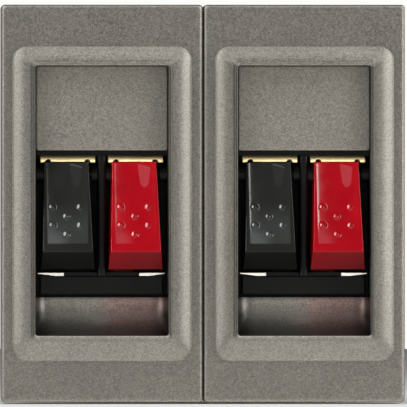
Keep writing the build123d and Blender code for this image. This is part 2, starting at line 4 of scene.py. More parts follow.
import bmesh
import bpy
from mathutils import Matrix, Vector


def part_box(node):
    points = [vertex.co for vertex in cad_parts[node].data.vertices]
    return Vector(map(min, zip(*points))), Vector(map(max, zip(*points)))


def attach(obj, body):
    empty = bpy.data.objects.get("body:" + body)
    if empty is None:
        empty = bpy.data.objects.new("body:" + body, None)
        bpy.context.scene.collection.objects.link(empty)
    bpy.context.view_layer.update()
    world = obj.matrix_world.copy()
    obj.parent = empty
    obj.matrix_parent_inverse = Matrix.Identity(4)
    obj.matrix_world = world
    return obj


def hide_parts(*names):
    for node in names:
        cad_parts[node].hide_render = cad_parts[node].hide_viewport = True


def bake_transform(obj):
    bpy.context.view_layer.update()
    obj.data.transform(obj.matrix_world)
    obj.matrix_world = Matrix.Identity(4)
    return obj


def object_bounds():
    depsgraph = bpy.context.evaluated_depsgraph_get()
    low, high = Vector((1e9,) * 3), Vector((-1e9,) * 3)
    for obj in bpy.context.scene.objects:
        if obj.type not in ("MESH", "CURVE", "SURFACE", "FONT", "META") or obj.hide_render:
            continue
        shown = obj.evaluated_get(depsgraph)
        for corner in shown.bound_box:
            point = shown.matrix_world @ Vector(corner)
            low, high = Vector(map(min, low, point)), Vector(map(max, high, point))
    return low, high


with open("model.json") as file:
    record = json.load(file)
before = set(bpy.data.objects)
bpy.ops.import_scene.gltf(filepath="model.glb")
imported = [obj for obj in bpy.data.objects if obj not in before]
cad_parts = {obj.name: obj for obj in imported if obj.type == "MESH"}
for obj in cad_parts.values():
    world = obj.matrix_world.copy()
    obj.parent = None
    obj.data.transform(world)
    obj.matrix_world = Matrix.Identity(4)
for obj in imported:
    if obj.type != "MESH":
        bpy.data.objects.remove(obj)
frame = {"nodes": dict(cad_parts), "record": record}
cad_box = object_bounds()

# Twin loudspeaker wall terminal. Lengths below are millimetres, turned into metres by MM,
# except those of the lamps, camera and stage, which are metres.
# X is to the right, Z is up and the front faces -Y.
# A depth is a distance in front of the seat plane.
MM = 0.001
SIDES = ("left", "right")
POLES = ("black", "red")

record = frame["record"]
nodes = frame["nodes"]


def span(node):
    """A node's lowest and highest corner in millimetres."""
    low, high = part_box(node)
    return Vector(low) / MM, Vector(high) / MM


def middle_x(node):
    """Middle of a node from left to right."""
    low, high = span(node)
    return (low.x + high.x) / 2


def smooth_step(value):
    """Smooth rise from 0 to 1 as the value goes from 0 to 1."""
    value = min(max(value, 0.0), 1.0)
    return value * value * (3 - 2 * value)


# ---------------------------------------------------------------- materials


class Nodes:
    """Short ways to add nodes to one material."""

    def __init__(self, name):
        self.material = bpy.data.materials.new(name)
        self.material.use_nodes = True
        self.tree = self.material.node_tree
        self.shader = self.tree.nodes["Principled BSDF"]
        self.place = self.tree.nodes.new("ShaderNodeTexCoord").outputs["Object"]

    def set(self, **values):
        for key, value in values.items():
            self.shader.inputs[key.replace("_", " ")].default_value = value

    def link(self, source, socket):
        self.tree.links.new(source, self.shader.inputs[socket])

    def noise(self, size_mm, detail=2.0, roughness=0.5, stretch=(1, 1, 1)):
        """Noise with features of about this size."""
        mapping = self.tree.nodes.new("ShaderNodeMapping")
        mapping.inputs["Scale"].default_value = [s / (size_mm * MM) for s in stretch]
        self.tree.links.new(self.place, mapping.inputs["Vector"])
        texture = self.tree.nodes.new("ShaderNodeTexNoise")
        texture.inputs["Scale"].default_value = 1.0
        texture.inputs["Detail"].default_value = detail
        texture.inputs["Roughness"].default_value = roughness
        self.tree.links.new(mapping.outputs["Vector"], texture.inputs["Vector"])
        return texture.outputs["Fac"]

    def cells(self, size_mm):
        """Random value in each small cell."""
        mapping = self.tree.nodes.new("ShaderNodeMapping")
        mapping.inputs["Scale"].default_value = [1 / (size_mm * MM)] * 3
        self.tree.links.new(self.place, mapping.inputs["Vector"])
        texture = self.tree.nodes.new("ShaderNodeTexVoronoi")
        texture.inputs["Scale"].default_value = 1.0
        self.tree.links.new(mapping.outputs["Vector"], texture.inputs["Vector"])
        split = self.tree.nodes.new("ShaderNodeSeparateColor")
        self.tree.links.new(texture.outputs["Color"], split.inputs["Color"])
        return split.outputs["Red"]

    def stored(self, name):
        """The number that a mesh keeps for each vertex."""
        node = self.tree.nodes.new("ShaderNodeAttribute")
        node.attribute_name = name
        return node.outputs["Fac"]

    def range(self, source, low, high, out_low, out_high):
        """The source, moved from one range of numbers to another."""
        node = self.tree.nodes.new("ShaderNodeMapRange")
        node.inputs["From Min"].default_value = low
        node.inputs["From Max"].default_value = high
        node.inputs["To Min"].default_value = out_low
        node.inputs["To Max"].default_value = out_high
        self.tree.links.new(source, node.inputs["Value"])
        return node.outputs["Result"]

    def math(self, operation, a, b):
        """One sum or product of two numbers or sockets."""
        node = self.tree.nodes.new("ShaderNodeMath")
        node.operation = operation
        for socket, value in zip(node.inputs, (a, b)):
            if isinstance(value, (int, float)):
                socket.default_value = value
            else:
                self.tree.links.new(value, socket)
        return node.outputs["Value"]

    def mix(self, factor, a, b, blend="MIX"):
        """Two colours mixed by a factor."""
        node = self.tree.nodes.new("ShaderNodeMix")
        node.data_type = "RGBA"
        node.blend_type = blend
        self.plug(node.inputs["Factor"], factor)
        self.plug(node.inputs[6], a)
        self.plug(node.inputs[7], b)
        return node.outputs[2]

    def plug(self, socket, value):
        """Give a socket a number, a colour or another node's output."""
        if isinstance(value, (int, float)):
            socket.default_value = value
        elif isinstance(value, tuple):
            socket.default_value = (*value, 1.0)
        else:
            self.tree.links.new(value, socket)

    def bump(self, height, distance_mm, strength=1.0, normal=None):
        node = self.tree.nodes.new("ShaderNodeBump")
        node.inputs["Strength"].default_value = strength
        node.inputs["Distance"].default_value = distance_mm * MM
        self.tree.links.new(height, node.inputs["Height"])
        if normal is not None:
            self.tree.links.new(normal, node.inputs["Normal"])
        return node.outputs["Normal"]


METALLIC = 0.72
# pink reflection of the red lever, painted onto the tray
PAINTED_RED_TINT = (1.15, 0.86, 0.88)


def scaled(tone, factor, lift=0.0):
    """A colour made lighter or darker."""
    return tuple(c * factor + lift for c in tone)


def bezel_painted_light(m):
    """Painted light and shade along the bezel: painted highlights along its bottom edge and inside its
    top, painted shade at its sides.
    """
    return m.stored("rim")


def scoop_painted_light(m):
    """Painted shade on the tray, darker towards its floor and ends, with a painted pink reflection of
    the red lever beside it.
    """
    shade = m.stored("shade")
    return m.mix(m.stored("painted_red_reflection"), shade, m.mix(1.0, shade, PAINTED_RED_TINT, "MULTIPLY"))


def paint(name, tone, roughness, shade=None):
    """Metallic grey paint with fine flakes."""
    m = Nodes(name)
    flake = m.cells(0.11)
    soft = m.noise(0.28, 3.0, 0.7)
    grain = m.math("ADD", m.math("MULTIPLY", flake, 0.55), m.math("MULTIPLY", soft, 0.45))
    speckle = m.range(grain, 0.2, 0.8, 0.0, 1.0)
    colour = m.mix(speckle, scaled(tone, 0.72), scaled(tone, 1.34))
    cloud = m.range(m.noise(9.0, 2.0), 0.3, 0.7, 0.94, 1.04)
    colour = m.mix(1.0, colour, cloud, "MULTIPLY")
    # shade multiplies the colour by painted light and shade, where it is given
    if shade is not None:
        colour = m.mix(1.0, colour, shade(m), "MULTIPLY")
    m.link(colour, "Base Color")
    m.link(m.range(flake, 0.0, 1.0, roughness - 0.07, roughness + 0.09), "Roughness")
    m.set(Metallic=METALLIC, Specular_IOR_Level=0.5)
    fine = m.bump(flake, 0.006, 0.5)
    m.link(m.bump(m.noise(0.35, 2.0), 0.01, 0.5, fine), "Normal")
    return m.material


def gloss_plastic(name, tone, rough, painted_reflection, under):
    """Shiny plastic with flow marks, and painted reflections broken up by a fine speckle; its lower
    end takes painted shade and shines less.
    """
    m = Nodes(name)
    cloud = m.range(m.noise(3.5, 3.0), 0.3, 0.7, 0.0, 1.0)
    colour = m.mix(cloud, scaled(tone, 0.9), scaled(tone, 1.1, 0.002))
    speckle = m.range(m.noise(0.25, 3.0, 0.6), 0.25, 0.65, 0.72, 1.0)
    # painted reflections mixed into the colour
    colour = m.mix(m.math("MULTIPLY", m.stored("painted_reflection"), speckle), colour, painted_reflection)
    # painted shade darkens the end face, which also shines less
    end = m.stored("end")
    m.link(m.mix(end, colour, under), "Base Color")
    m.link(m.range(m.noise(1.2, 4.0, 0.6), 0.3, 0.75, rough, rough + 0.1), "Roughness")
    m.link(m.range(end, 0.0, 0.6, 0.38, 0.08), "Specular IOR Level")
    m.set(IOR=1.5)
    m.link(m.bump(m.noise(0.5, 3.0), 0.004, 0.35), "Normal")
    return m.material


def matte_plastic(name, tone, texture_mm, depth_mm, rough):
    """Moulded plastic with a spark-eroded texture."""
    m = Nodes(name)
    cloud = m.range(m.noise(4.0, 3.0), 0.3, 0.7, 0.0, 1.0)
    m.link(m.mix(cloud, scaled(tone, 0.8), scaled(tone, 1.2)), "Base Color")
    grain = m.noise(texture_mm, 3.0, 0.6)
    m.link(m.range(grain, 0.3, 0.7, rough - 0.08, rough + 0.12), "Roughness")
    m.set(Specular_IOR_Level=0.3)
    m.link(m.bump(grain, depth_mm, 0.8), "Normal")
    return m.material


def metal(name, tone, rough, brush=(1, 1, 1), tarnish=(0.2, 0.12, 0.05), amount=0.3, depth_mm=0.004):
    """Bare or plated metal with drawn lines and a little tarnish."""
    m = Nodes(name)
    patch = m.range(m.noise(1.6, 4.0, 0.6), 0.45, 0.75, 0.0, amount)
    m.link(m.mix(patch, tone, tarnish), "Base Color")
    lines = m.noise(0.12, 2.0, 0.6, brush)
    m.link(m.range(lines, 0.25, 0.75, rough - 0.06, rough + 0.12), "Roughness")
    m.set(Metallic=1.0)
    m.link(m.bump(lines, depth_mm, 0.6), "Normal")
    return m.material


GREY = (0.232, 0.217, 0.189)
BLACK = (0.0135, 0.0145, 0.0130)
# colour of the painted reflections on each lever's dish
BLACK_PAINTED_REFLECTION = (0.12, 0.128, 0.125)
# colour of each lever's end face in painted shade
BLACK_END_SHADE = (0.0095, 0.0095, 0.009)
RED = (0.345, 0.0002, 0.0055)
RED_PAINTED_REFLECTION = (0.40, 0.055, 0.07)
RED_END_SHADE = (0.192, 0.019, 0.021)
SPRING_TONE = (1.0, 0.83, 0.46)
SPRING_TARNISH = (0.45, 0.3, 0.1)
materials = {
    # the fascia's grey carries the bezel's painted light and shade
    "grey_paint": paint("grey_paint", GREY, 0.40, bezel_painted_light),
    "panel_paint": paint("panel_paint", scaled(GREY, 1.22), 0.46),
    # the scoop's paint: the fascia's grey made lighter, with painted light and shade and a painted red
    # reflection
    "scoop_paint": paint("scoop_paint", scaled(GREY, 1.15), 0.36, scoop_painted_light),
    "black_plastic": matte_plastic("black_plastic", (0.004, 0.004, 0.0035), 0.16, 0.004, 0.38),
    "housing_plastic": matte_plastic("housing_plastic", (0.022, 0.022, 0.023), 0.22, 0.02, 0.52),
    "black_lever": gloss_plastic("black_lever", BLACK, 0.12, BLACK_PAINTED_REFLECTION, BLACK_END_SHADE),
    "red_lever": gloss_plastic("red_lever", RED, 0.12, RED_PAINTED_REFLECTION, RED_END_SHADE),
    "spring_brass": metal("spring_brass", SPRING_TONE, 0.50, (1, 1, 0.15), SPRING_TARNISH, 0.25, 0.03),
    "pillar_brass": metal("pillar_brass", (0.72, 0.53, 0.24), 0.30, (1, 1, 0.3), amount=0.5),
    "tinned": metal("tinned", (0.96, 0.93, 0.85), 0.48, (1, 0.3, 1), (0.35, 0.3, 0.24), 0.2),
    "pin_steel": metal("pin_steel", (0.03, 0.03, 0.032), 0.55),
    "steel": metal("steel", (0.62, 0.61, 0.58), 0.32, (1, 0.4, 1), (0.25, 0.22, 0.16), 0.35),
}


def dress(obj, slot):
    """Give an object one procedural material."""
    obj.data.materials.clear()
    obj.data.materials.append(materials[slot])


def dress_cad_nodes():
    """Every node carried over from the frame takes its slot's procedural material."""
    for part in record["subparts"]:
        obj = nodes[part["node"]]
        for index in range(max(1, len(obj.material_slots))):
            if index < len(obj.material_slots):
                obj.material_slots[index].material = materials[part["material_slot"]]
            else:
                obj.data.materials.append(materials[part["material_slot"]])


# ---------------------------------------------------------------- mesh helpers


def new_object(name, vertices, faces):
    """Mesh object from points in millimetres, given as (x, depth, z)."""
    mesh = bpy.data.meshes.new(name)
    mesh.from_pydata([(x * MM, -depth * MM, z * MM) for x, depth, z in vertices], [], faces)
    mesh.validate()
    bm = bmesh.new()
    bm.from_mesh(mesh)
    bmesh.ops.recalc_face_normals(bm, faces=bm.faces)
    bm.to_mesh(mesh)
    bm.free()
    mesh.polygons.foreach_set("use_smooth", [True] * len(mesh.polygons))
    obj = bpy.data.objects.new(name, mesh)
    bpy.context.scene.collection.objects.link(obj)
    return obj


def store(obj, name, values):
    """Keep one number for each vertex, which the material reads."""
    attribute = obj.data.attributes.new(name, "FLOAT", "POINT")
    attribute.data.foreach_set("value", values)


SIDE_STEPS = 24         # points along each side of a loop, and around each corner
CORNER_STEPS = 8


def upright_shares():
    """For each point of rounded_loop, 0 on its sides and 1 on its top and bottom."""
    shares = []
    for corner in range(4):
        rising = corner % 2 == 0
        for step in range(CORNER_STEPS + 1):
            turn = math.sin(math.radians(90 * step / CORNER_STEPS)) ** 2
            shares.append(turn if rising else 1 - turn)
        shares += [1.0 if rising else 0.0] * (SIDE_STEPS - 1)
    return shares


def rounded_loop(half, bottom, top, radius):
    """Points (x, z) around a rounded rectangle, the same number whatever its size."""
    points = []
    corners = (
        (half - radius, top - radius, 0),
        (-half + radius, top - radius, 90),
        (-half + radius, bottom + radius, 180),
        (half - radius, bottom + radius, 270),
    )
    for index, (cx, cz, start) in enumerate(corners):
        for step in range(CORNER_STEPS + 1):
            angle = math.radians(start + 90 * step / CORNER_STEPS)
            points.append((cx + radius * math.cos(angle), cz + radius * math.sin(angle)))
        nx, nz, next_start = corners[(index + 1) % 4]
        angle = math.radians(next_start)
        target = (nx + radius * math.cos(angle), nz + radius * math.sin(angle))
        last = points[-1]
        for step in range(1, SIDE_STEPS):
            points.append(along(last, target, step / SIDE_STEPS))
    return points


def along(a, b, part):
    """Point at a part of the way from one flat point to another."""
    return a[0] + (b[0] - a[0]) * part, a[1] + (b[1] - a[1]) * part


def bridge(count, rows, closed=True):
    """Quads between rows of points."""
    faces = []
    columns = count if closed else count - 1
    for row in range(rows - 1):
        for column in range(columns):
            following = (column + 1) % count
            a = row * count + column
            b = row * count + following
            faces.append((a, b, b + count, a + count))
    return faces


# ---------------------------------------------------------------- fascia

EDGE = 0.42             # rounding along the fascia's front edge
EDGE_STEPS = 6
RIM_CORNER = 0.4        # the fascia's own corners, seen from the front
FIELD = 8.0             # depth of the flat field
WALL = 1.3              # thickness of the fascia's sides
WALL_ENDS = 2.1         # the same at its top and bottom
BACK = 6.6              # depth of the back of the field, inside the walls
BEZEL_HALF = 9.9        # outer edge of the bead: half width, bottom, top
BEZEL_LOW = -17.45
BEZEL_TOP = 17.44
BEZEL_CORNER = 1.6
THROAT_HALF = 7.4       # the opening: half width, bottom, top
THROAT_LOW = -14.69
THROAT_TOP = 15.35
THROAT_CORNER = 0.3
THROAT_FRONT = 7.4
THROAT_BACK = 5.9
THROAT_FLANGE = 1.0     # the throat's back edge turns out this far

BEAD_SINK = 0.01
BEAD = 1.02             # the bezel's height above the field
BEAD_WALL = 0.22        # steep foot of the bead
BEAD_FOOT = 0.02        # part of the band that the foot takes
BEAD_RUN_SIDES = 0.87   # part of the band where the bead is convex
BEAD_RUN_ENDS = 1.8     # the same above and below the opening, where it runs on into the edge
BEAD_TILT = math.radians(41)
RIM = 0.07              # fine raised rim along the opening
RIM_START = 0.92        # where along the band the rim rises, and over how much of it
RIM_RUN = 0.05
LIP = 0.16              # rounding from the rim into the opening
LIP_STEPS = 8
LIP_DROP = 1.2          # the lip is this much deeper than it is wide
OUTER_LIP_FROM = 0.98      # the lip's outer part, which takes the painted highlight along the bottom edge, starts here on the band
OUTER_LIP_STEPS = 5        # and takes this many steps of the lip

RIM_SIDES_PAINTED_SHADE = 0.38        # painted shade where the paint turns into the opening at the sides
# painted highlights: inside the top of the opening past the lip's outer part, and on that outer part
# along the bottom
RIM_TOP_PAINTED_HIGHLIGHT = 2.6
RIM_BOTTOM_PAINTED_HIGHLIGHT = 1.65
TOP_BAND_PAINTED_LIGHT = 0.30         # painted light: how much lighter the middle of the upper band is
BOTTOM_BAND_PAINTED_LIGHT = 0.2       # painted light: how much lighter the outer part of the lower band is


def bead_height(part, run):
    """Height of the bezel above the field; part goes from its outer edge to the opening."""
    if part < BEAD_FOOT:
        return BEAD_WALL * part / BEAD_FOOT
    height = BEAD
    if part < run:
        reach = run / math.sin(BEAD_TILT)
        rise = (BEAD - BEAD_WALL) / (1 - math.cos(BEAD_TILT))
        tilt = math.asin((run - part) / reach)
        height -= rise * (1 - math.cos(tilt))
    rim = min(max((part - RIM_START) / RIM_RUN, 0.0), 1.0)
    return height + RIM * math.sin(rim * math.pi / 2)


def bezel_painted_gain(part, share, x, z, outer_lip):
    """Painted light and shade on the bezel's paint; share is 0 on its sides and 1 on its top and
    bottom.
    """
    start, width = (0.78, 0.13) if x < 0 else (0.86, 0.08)
    sides = 1 + (RIM_SIDES_PAINTED_SHADE - 1) * smooth_step((part - start) / width)
    if z > 0:
        rise = smooth_step((part - 0.15) / 0.3)
        fall = 1 - smooth_step((part - 0.66) / 0.24)
        ends = RIM_TOP_PAINTED_HIGHLIGHT if part >= 1.0 and not outer_lip else 1 + TOP_BAND_PAINTED_LIGHT * rise * fall
    else:
        fall = 1 - smooth_step((part - 0.75) / 0.15)
        ends = RIM_BOTTOM_PAINTED_HIGHLIGHT if outer_lip else 1 + BOTTOM_BAND_PAINTED_LIGHT * fall
    return sides + (ends - sides) * share


def make_fascia(side):
    """Cap with a rounded front edge, a bead around the opening and a throat behind it."""
    node = f"fascia_{side}"
    low, high = span(node)
    centre = middle_x(node)
    half = (high.x - low.x) / 2
    bottom, top = low.z, high.z
    shares = upright_shares()
    vertices = []
    painted_gains = []
    loops = 0

    def add(w, b, t, r, depth):
        nonlocal loops
        vertices.extend((centre + x, depth, z) for x, z in rounded_loop(w, b, t, r))
        painted_gains.extend([1.0] * len(shares))
        loops += 1

    def add_bead(w, b, t, r, part, drop, outer_lip):
        nonlocal loops
        for (x, z), share in zip(rounded_loop(w, b, t, r), shares):
            run = BEAD_RUN_SIDES + (BEAD_RUN_ENDS - BEAD_RUN_SIDES) * share
            depth = FIELD + BEAD_SINK + bead_height(part, run) - drop
            vertices.append((centre + x, depth, z))
            painted_gains.append(bezel_painted_gain(part, share, x, z, outer_lip))
        loops += 1

    skirt = ((WALL, BACK), (WALL, 0.05), (WALL - 0.05, 0.0), (0.08, 0.0), (0.02, 0.02), (0, 0.08))
    for inset, depth in skirt:
        upright = inset if inset < 1 else WALL_ENDS
        add(half - inset, bottom + upright, top - upright, RIM_CORNER, depth)
    add(half, bottom, top, RIM_CORNER, FIELD - EDGE - 0.1)
    for step in range(EDGE_STEPS + 1):
        angle = math.radians(90 * step / EDGE_STEPS)
        inset = EDGE * (1 - math.cos(angle))
        depth = FIELD - EDGE * (1 - math.sin(angle))
        add(half - inset, bottom + inset, top - inset, RIM_CORNER + inset * 0.2, depth)
    inset = EDGE + 0.15
    add(half - inset, bottom + inset, top - inset, 0.5, FIELD)

    for out, rounder in ((0.25, 0.2), (0.07, 0.05)):
        add(BEZEL_HALF + out, BEZEL_LOW - out, BEZEL_TOP + out, BEZEL_CORNER + rounder, FIELD)
    outer = (BEZEL_HALF, BEZEL_LOW, BEZEL_TOP, BEZEL_CORNER)
    inner = (THROAT_HALF + LIP, THROAT_LOW - LIP, THROAT_TOP + LIP, THROAT_CORNER + LIP)
    parts = [0.0, 0.01, 0.02, 0.04, 0.07] + [0.1 + 0.04 * step for step in range(21)]
    parts += [0.92, 0.93, 0.945, 0.96, 0.97, 0.985]
    for part in parts:
        loop = [a + (b - a) * part for a, b in zip(outer, inner)]
        add_bead(*loop, part, 0.0, part > OUTER_LIP_FROM)
    w, b, t, r = inner
    for step in range(1, LIP_STEPS + 1):
        angle = math.radians(90 * step / LIP_STEPS)
        inset = LIP * math.sin(angle)
        drop = LIP * LIP_DROP * (1 - math.cos(angle))
        add_bead(w - inset, b + inset, t - inset, r - inset, 1.0, drop, step <= OUTER_LIP_STEPS)

    for out, depth in ((0.0, THROAT_FRONT), (0.0, THROAT_BACK), (THROAT_FLANGE, THROAT_BACK)):
        add(THROAT_HALF + out, THROAT_LOW - out, THROAT_TOP + out, THROAT_CORNER, depth)
    add(half - WALL, bottom + WALL_ENDS, top - WALL_ENDS, RIM_CORNER, BACK - 0.05)
    obj = new_object(f"{node}_shell", vertices, bridge(len(shares), loops))
    # the bezel's painted light and shade, kept for each vertex
    store(obj, "rim", painted_gains)
    finish_piece(obj, "terminal", "grey_paint", node)


def finish_piece(obj, body, slot, *replaced):
    """Material, body and record slot of a piece, and the nodes that it stands for."""
    dress(obj, slot)
    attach(obj, body)
    if replaced:
        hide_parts(*replaced)


FLOOR_DEPTH = 4.3       # back of the scoop
SCOOP = 4.0             # radius of the scoop
SCOOP_TOP = -10.4
SCOOP_ENDS = 1.5        # rounding at its left and right
SCOOP_SHEET = 0.6
SCOOP_LIP = 0.1         # part of the rows above the cove


def scoop_painted_shade(off, z):
    """Painted light and shade on the scoop: a painted shadow below the bar, a painted lit band,
    painted shade on the floor and at the ends.
    """
    under_bar = smooth_step((-10.05 - z) / 1.0)
    light_band = 0.45 + 1.4 * smooth_step((z + 12.65) / 1.5)
    floor = 0.5 + 0.5 * smooth_step((z + 14.7) / 1.3)
    ends = 0.14 + 0.86 * smooth_step((THROAT_HALF - abs(off)) / 2.4)
    return under_bar * light_band * floor * ends


def make_scoop(side):
    """Concave tray below the levers: back wall, cove and rounded ends, as one thin shell."""
    centre = middle_x(f"fascia_{side}")
    half = THROAT_HALF
    columns = 64
    rows = 40
    axis_depth = FLOOR_DEPTH + SCOOP
    axis_z = THROAT_LOW + SCOOP
    vertices = []
    for row in range(rows + 1):
        part = row / rows
        angle = math.radians(90 * max(0.0, part - SCOOP_LIP) / (1 - SCOOP_LIP))
        z = axis_z - SCOOP * math.sin(angle)
        if part < SCOOP_LIP:
            z = SCOOP_TOP + (axis_z - SCOOP_TOP) * part / SCOOP_LIP
        for column in range(columns + 1):
            x = -half + 2 * half * (0.5 - 0.5 * math.cos(math.pi * column / columns))
            edge = max(0.0, SCOOP_ENDS - (half - abs(x))) / SCOOP_ENDS
            lift = SCOOP_ENDS * (1 - math.sqrt(max(0.0, 1 - edge * edge)))
            depth = axis_depth - (SCOOP - lift) * math.cos(angle)
            vertices.append((centre + x, depth, z))
    faces = bridge(columns + 1, rows + 1, closed=False)
    obj = new_object(f"fascia_{side}_scoop", vertices, faces)
    # where the painted red reflection falls, and the painted light and shade, kept for each vertex
    store(obj, "painted_red_reflection", [smooth_step((x - centre + 1.5) / 3.5) for x, depth, z in vertices])
    store(obj, "shade", [scoop_painted_shade(x - centre, z) for x, depth, z in vertices])
    thick = obj.modifiers.new("thickness", "SOLIDIFY")
    thick.thickness = SCOOP_SHEET * MM
    thick.offset = 1.0
    finish_piece(obj, "terminal", "grey_paint", f"fascia_{side}")
    dress(obj, "scoop_paint")


# ---------------------------------------------------------------- upper panel


PANEL_CREEP = 0.08      # the plate's rim comes this much closer to the throat
PANEL_CORNER = 0.22
PANEL_EDGE = (          # inset from the rim, and distance behind the plate's front
    (0.0, 1.2), (0.0, 0.16), (0.012, 0.08), (0.05, 0.03), (0.11, 0.008), (0.2, 0.0), (0.5, 0.0),
)


def make_panel(side):
    """Clip-in panel with a fine rounded edge."""
    node = f"upper_panel_{side}"
    low, high = span(node)
    centre = middle_x(node)
    half = (high.x - low.x) / 2 + PANEL_CREEP
    top = high.z + PANEL_CREEP
    front = -low.y
    vertices = []
    for inset, behind in PANEL_EDGE:
        loop = rounded_loop(half - inset, low.z + inset, top - inset, PANEL_CORNER)
        vertices += [(centre + x, front - behind, z) for x, z in loop]
    count = len(loop)
    faces = bridge(count, len(PANEL_EDGE))
    faces.append(tuple(range(len(vertices) - count, len(vertices))))
    faces.append(tuple(reversed(range(count))))
    obj = new_object(f"{node}_plate", vertices, faces)
    finish_piece(obj, "terminal", "panel_paint", node)


# ---------------------------------------------------------------- levers

# Heights are from the fascia's middle, and X is from the lever's middle.
LEVER_TOP = 4.66
LEVER_TOP_DEPTH = 6.95
NOSE = -5.35            # where the face ends and the end face runs back
NOSE_DEPTH = 8.8
FOOT = -7.34
FOOT_DEPTH = 6.6
HALF_TOP = 2.53         # half of the lever's width behind its face
HALF_BOTTOM = 3.075
FACE_TOP = 2.46         # half of the front face; the sides widen behind it
FACE_NOSE = 2.80
FACE_FOOT = 3.02
FACE_ROUND = 0.09
NOSE_CUT, NOSE_REACH = 0.03, 0.2    # how deep each end of the face is rounded, and how far
TOP_CUT, TOP_REACH = 0.16, 0.2
FOOT_CUT, FOOT_REACH = 0.02, 0.16
CHEEK_TOP = 4.3
CHEEK_BACK = 3.35
CROWN = 0.6             # thickness above the cheeks
SHELL = 0.45
LEAN = -0.17            # the face's top leans this much to the left
FACE_COLUMNS = 84
SKIRT_STEPS = 5
ROUND_STEPS = 5
LEVER_ROWS = 150

DISH_LOW = -4.52
DISH_DEEP = 0.25
DISH_STEP = 0.007       # small step along the dish's edge
DISH_EDGE = 0.3
DISH_RUN = 2.6
DISH_HALF = 2.30
DISH_CORNER = 0.45
DOME = 0.50             # radius of a grip dome
DOME_COLUMNS = (        # X, height of the domes, their two places from top to bottom
    (-1.62, 0.225, (-0.42, -2.42)),
    (-0.08, 0.165, (-1.45, -3.42)),
    (1.46, 0.125, (-0.42, -2.45)),
)

CORNER_PAINTED_REFLECTION = {"black": 0.62, "red": 0.60}     # strength of the painted reflection at the dish's lower left
CORNER_REACH = {"black": 3.0, "red": 2.4}       # and how far right it goes
CORNER_RISE = 2.1
SHIELD_PAINTED_REFLECTION = {"black": 0.06, "red": 0.62}     # strength of the painted reflection at the upper right
SHIELD_X = 1.08
SHIELD_TOP = 4.30
SHIELD_LOW = 1.8
SHIELD_TALL = 2.4
GLINT_PAINTED_HIGHLIGHT = {"black": 0.60, "red": 0.10}      # strength of the painted highlight line along its top
GLINT_HALF = 0.75
VEIL_PAINTED_SHEEN = {"black": 0.20, "red": 0.0}        # strength of the painted sheen over the lower dish
SIDE_PAINTED_SHADE = 0.35        # painted shade on the right side, as a part of the end face's


def half_width(z):
    """Half of a lever's width at a height."""
    part = min(max((LEVER_TOP - z) / (LEVER_TOP - NOSE), 0.0), 1.0)
    return HALF_TOP + (HALF_BOTTOM - HALF_TOP) * part


def face_half(z):
    """Half of the front face's width at a height."""
    if z >= NOSE:
        return FACE_TOP + (FACE_NOSE - FACE_TOP) * (LEVER_TOP - z) / (LEVER_TOP - NOSE)
    return FACE_NOSE + (FACE_FOOT - FACE_NOSE) * (NOSE - z) / (NOSE - FOOT)


def painted_dish_reflection(pole, x, z):
    """Painted reflections, a painted sheen and a painted highlight line on the dish."""
    # Painted reflection at the lower left corner of the dish with a streak up its left edge, and a
    # painted sheen beside it.
    right = x + DISH_HALF
    up = z - DISH_LOW
    edge = 0.14
    inside = smooth_step(right / edge) * smooth_step(up / edge)
    inside *= smooth_step((DISH_HALF - x) / edge)
    far = math.hypot(max(right, 0.0) / CORNER_REACH[pole], max(up - 0.2, 0.0) / CORNER_RISE)
    patch = 1 - smooth_step((far - 0.3) / 0.7)
    streak = (1 - smooth_step((right - 0.05) / 0.3)) * (1 - smooth_step((up - 1.0) / 4.5))
    corner = inside * max(patch, 0.7 * streak)
    veil = inside * (1 - smooth_step((up - 1.6) / 3.4)) * (1 - corner)

    # Shield-shaped painted reflection at the upper right, with a painted highlight line along its top.
    off = x - SHIELD_X
    brow = SHIELD_TOP - 0.28 * off - 0.12 * off * off
    part = min(max((z - SHIELD_LOW) / SHIELD_TALL, 0.0), 1.0)
    width = (0.42 + 0.28 * part) * math.sqrt(1 - (1 - min(part / 0.3, 1.0)) ** 2)
    across = smooth_step((width - abs(off)) / 0.16 + 0.5)
    shield = across * smooth_step((brow - z) / 0.12) * (part > 0)
    line = smooth_step(1 - abs(brow - z - 0.08) / 0.10)
    glint = line * smooth_step((GLINT_HALF - abs(off)) / 0.2)
    return (
        corner * CORNER_PAINTED_REFLECTION[pole]
        + veil * VEIL_PAINTED_SHEEN[pole]
        + shield * SHIELD_PAINTED_REFLECTION[pole]
        + glint * GLINT_PAINTED_HIGHLIGHT[pole]
    )


def face_depth(z):
    """Depth of the lever's front before the dish is taken out."""
    if z >= NOSE:
        part = (LEVER_TOP - z) / (LEVER_TOP - NOSE)
        return LEVER_TOP_DEPTH + (NOSE_DEPTH - LEVER_TOP_DEPTH) * part
    part = (NOSE - z) / (NOSE - FOOT)
    return NOSE_DEPTH + (FOOT_DEPTH - NOSE_DEPTH) * part


def dish(x, z):
    """How far the finger dish is below the front: an arc across, run out above the nose."""
    inward = DISH_HALF - abs(x)
    upward = z - DISH_LOW
    if inward <= 0 or upward <= 0:
        return 0.0
    if inward < DISH_CORNER and upward < DISH_CORNER:
        edge = DISH_CORNER - math.hypot(DISH_CORNER - inward, DISH_CORNER - upward)
    else:
        edge = min(inward, upward)
    if edge <= 0:
        return 0.0
    hollow = 1 - (x / DISH_HALF) ** 2
    run_out = 1 - (1 - min(upward / DISH_RUN, 1.0)) ** 2
    return DISH_STEP * smooth_step(edge / DISH_EDGE) + DISH_DEEP * hollow * run_out


def dome(x, z):
    """Height of the grip domes above the dish."""
    tall = 0.0
    for column, rise, places in DOME_COLUMNS:
        for place in places:
            distance = math.hypot(x - column, z - place) / DOME
            if distance < 1:
                tall = max(tall, rise * (1 - distance * distance) ** 2)
    return tall


